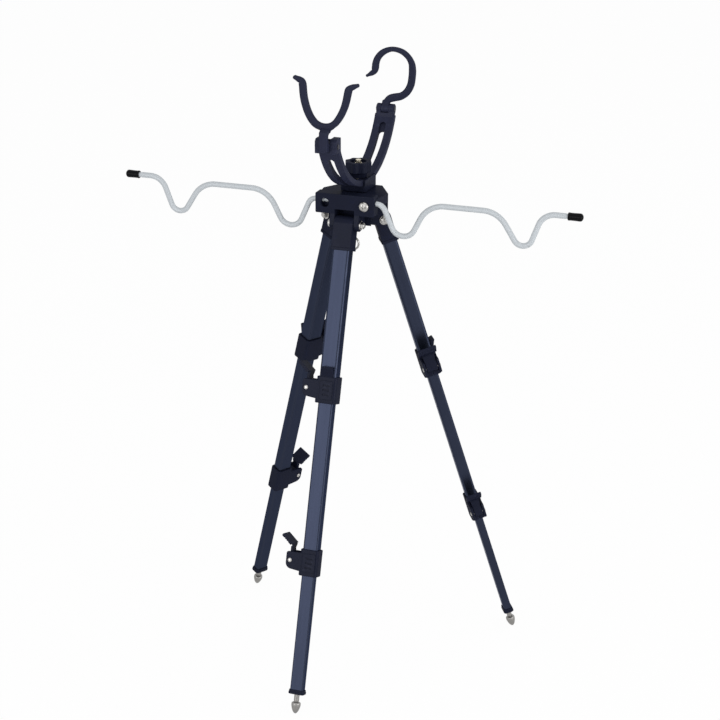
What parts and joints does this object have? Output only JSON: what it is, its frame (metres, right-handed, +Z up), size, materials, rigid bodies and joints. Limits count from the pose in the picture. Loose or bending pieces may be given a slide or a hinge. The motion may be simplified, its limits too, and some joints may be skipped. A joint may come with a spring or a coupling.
{
  "type": "fishing rod tripod",
  "caption": "Folding tripod for fishing rods: telescopic legs with flip locks and spikes, two bent wire arms for spare rods, and a rocking bow with a U cradle and a hook.",
  "frame": {"origin": "the middle of the whole tripod's underside, at the level of the spike tips, at rest", "axes": "+Z up; -Y is the front, where the front leg and the U cradle are; +X is the right-hand wire arm"},
  "size_m": [0.4844, 0.2754, 0.6323],
  "materials": {
    "black_plastic": "satin black moulded plastic with a blue cast",
    "blue_anodised": "slate blue anodised, drawn tube",
    "brass": "pale, satin",
    "grey_bush": "plain grey moulding",
    "nickel_steel": "bright nickel plate",
    "soft_cap": "glossy dipped vinyl",
    "white_wire": "smooth white-silver coating"
  },
  "bodies": {
    "head": {"head_block": "black_plastic", "clamp_screw": "nickel_steel", "weight_hook": "nickel_steel", "front_pivot_bolt": "nickel_steel", "right_pivot_bolt": "nickel_steel", "left_pivot_bolt": "nickel_steel"},
    "front_upper_leg": {"front_leg_cap": "black_plastic", "front_upper_tube": "blue_anodised", "front_upper_lock": "black_plastic", "front_upper_lever_pin": "nickel_steel"},
    "front_upper_flip_lever": {"front_upper_lever": "black_plastic"},
    "front_middle_leg": {"front_middle_tube": "blue_anodised", "front_middle_tube_bush": "grey_bush", "front_lower_lock": "black_plastic", "front_lower_lever_pin": "nickel_steel"},
    "front_lower_flip_lever": {"front_lower_lever": "black_plastic"},
    "front_lower_leg": {"front_lower_tube": "blue_anodised", "front_lower_tube_bush": "grey_bush", "front_foot": "black_plastic", "front_spike": "nickel_steel"},
    "right_upper_leg": {"right_leg_cap": "black_plastic", "right_upper_tube": "blue_anodised", "right_upper_lock": "black_plastic", "right_upper_lever_pin": "nickel_steel"},
    "right_upper_flip_lever": {"right_upper_lever": "black_plastic"},
    "right_middle_leg": {"right_middle_tube": "blue_anodised", "right_middle_tube_bush": "grey_bush", "right_lower_lock": "black_plastic", "right_lower_lever_pin": "nickel_steel"},
    "right_lower_flip_lever": {"right_lower_lever": "black_plastic"},
    "right_lower_leg": {"right_lower_tube": "blue_anodised", "right_lower_tube_bush": "grey_bush", "right_foot": "black_plastic", "right_spike": "nickel_steel"},
    "left_upper_leg": {"left_leg_cap": "black_plastic", "left_upper_tube": "blue_anodised", "left_upper_lock": "black_plastic", "left_upper_lever_pin": "nickel_steel"},
    "left_upper_flip_lever": {"left_upper_lever": "black_plastic"},
    "left_middle_leg": {"left_middle_tube": "blue_anodised", "left_middle_tube_bush": "grey_bush", "left_lower_lock": "black_plastic", "left_lower_lever_pin": "nickel_steel"},
    "left_lower_flip_lever": {"left_lower_lever": "black_plastic"},
    "left_lower_leg": {"left_lower_tube": "blue_anodised", "left_lower_tube_bush": "grey_bush", "left_foot": "black_plastic", "left_spike": "nickel_steel"},
    "left_wire": {"left_wire_arm": "white_wire", "left_wire_tip": "soft_cap"},
    "right_wire": {"right_wire_arm": "white_wire", "right_wire_tip": "soft_cap"},
    "turret": {"saddle": "black_plastic"},
    "clamp": {"clamp_knob": "black_plastic", "clamp_bolt": "brass"},
    "rocker": {"rocker_strap": "black_plastic", "cradle_pin": "nickel_steel", "hook_pin": "nickel_steel"},
    "cradle": {"rod_cradle": "black_plastic"},
    "hook": {"rod_hook": "black_plastic"}
  },
  "joints": [
    {"name": "front_leg_fold", "type": "hinge", "parent": "head", "child": "front_upper_leg", "pos_m": [0, 0.01253, 0.47434], "axis": [1, 0, 0], "range_deg": [0, 17.44]},
    {"name": "front_upper_lever_flip", "type": "hinge", "parent": "front_upper_leg", "child": "front_upper_flip_lever", "pos_m": [-0.021, -0.03737, 0.3155], "axis": [0, -0.954, 0.2997], "range_deg": [0, 140]},
    {"name": "front_middle_slide", "type": "slide", "parent": "front_upper_leg", "child": "front_middle_leg", "axis": [0, 0.2997, 0.954], "range_m": [0, 0.118]},
    {"name": "front_lower_lever_flip", "type": "hinge", "parent": "front_middle_leg", "child": "front_lower_flip_lever", "pos_m": [-0.02, -0.08997, 0.14807], "axis": [0, -0.954, 0.2997], "range_deg": [0, 140]},
    {"name": "front_lower_slide", "type": "slide", "parent": "front_middle_leg", "child": "front_lower_leg", "axis": [0, 0.2997, 0.954], "range_m": [0, 0.112]},
    {"name": "right_leg_fold", "type": "hinge", "parent": "head", "child": "right_upper_leg", "pos_m": [0.02338, 0.05303, 0.47434], "axis": [-0.5, 0.866, 0], "range_deg": [0, 17.44]},
    {"name": "right_upper_lever_flip", "type": "hinge", "parent": "right_upper_leg", "child": "right_upper_flip_lever", "pos_m": [0.0771, 0.0598, 0.3155], "axis": [0.8262, 0.477, 0.2997], "range_deg": [0, 140]},
    {"name": "right_middle_slide", "type": "slide", "parent": "right_upper_leg", "child": "right_middle_leg", "axis": [-0.2596, -0.1499, 0.954], "range_m": [0, 0.118]},
    {"name": "right_lower_lever_flip", "type": "hinge", "parent": "right_middle_leg", "child": "right_lower_flip_lever", "pos_m": [0.12215, 0.08696, 0.14807], "axis": [0.8262, 0.477, 0.2997], "range_deg": [0, 140]},
    {"name": "right_lower_slide", "type": "slide", "parent": "right_middle_leg", "child": "right_lower_leg", "axis": [-0.2596, -0.1499, 0.954], "range_m": [0, 0.112]},
    {"name": "left_leg_fold", "type": "hinge", "parent": "head", "child": "left_upper_leg", "pos_m": [-0.02338, 0.05303, 0.47434], "axis": [-0.5, -0.866, 0], "range_deg": [0, 17.44]},
    {"name": "left_upper_lever_flip", "type": "hinge", "parent": "left_upper_leg", "child": "left_upper_flip_lever", "pos_m": [-0.0561, 0.09617, 0.3155], "axis": [-0.8262, 0.477, 0.2997], "range_deg": [0, 140]},
    {"name": "left_middle_slide", "type": "slide", "parent": "left_upper_leg", "child": "left_middle_leg", "axis": [0.2596, -0.1499, 0.954], "range_m": [0, 0.118]},
    {"name": "left_lower_lever_flip", "type": "hinge", "parent": "left_middle_leg", "child": "left_lower_flip_lever", "pos_m": [-0.10215, 0.1216, 0.14807], "axis": [-0.8262, 0.477, 0.2997], "range_deg": [0, 140]},
    {"name": "left_lower_slide", "type": "slide", "parent": "left_middle_leg", "child": "left_lower_leg", "axis": [0.2596, -0.1499, 0.954], "range_m": [0, 0.112]},
    {"name": "left_wire_turn", "type": "hinge", "parent": "head", "child": "left_wire", "pos_m": [0, 0.01478, 0.49764], "axis": [1, 0, 0], "range_deg": [-90, 90]},
    {"name": "right_wire_turn", "type": "hinge", "parent": "head", "child": "right_wire", "pos_m": [0, 0.01478, 0.49764], "axis": [1, 0, 0], "range_deg": [-90, 90]},
    {"name": "holder_swivel", "type": "hinge", "parent": "head", "child": "turret", "pos_m": [0, 0.04953, 0.47434], "axis": [0, 0, 1], "range_deg": [-180, 180]},
    {"name": "knob_turn", "type": "hinge", "parent": "turret", "child": "clamp", "pos_m": [0, 0.04953, 0.47434], "axis": [0, 0, 1], "range_deg": [0, 360]},
    {"name": "rocker_tilt", "type": "hinge", "parent": "turret", "child": "rocker", "pos_m": [0, 0.04953, 0.60174], "axis": [1, 0, 0], "range_deg": [-35, 35]},
    {"name": "cradle_fold", "type": "hinge", "parent": "rocker", "child": "cradle", "pos_m": [0, -0.03829, 0.566], "axis": [-1, 0, 0], "range_deg": [0, 90]},
    {"name": "hook_fold", "type": "hinge", "parent": "rocker", "child": "hook", "pos_m": [0, 0.13246, 0.566], "axis": [1, 0, 0], "range_deg": [0, 90]}
  ]
}
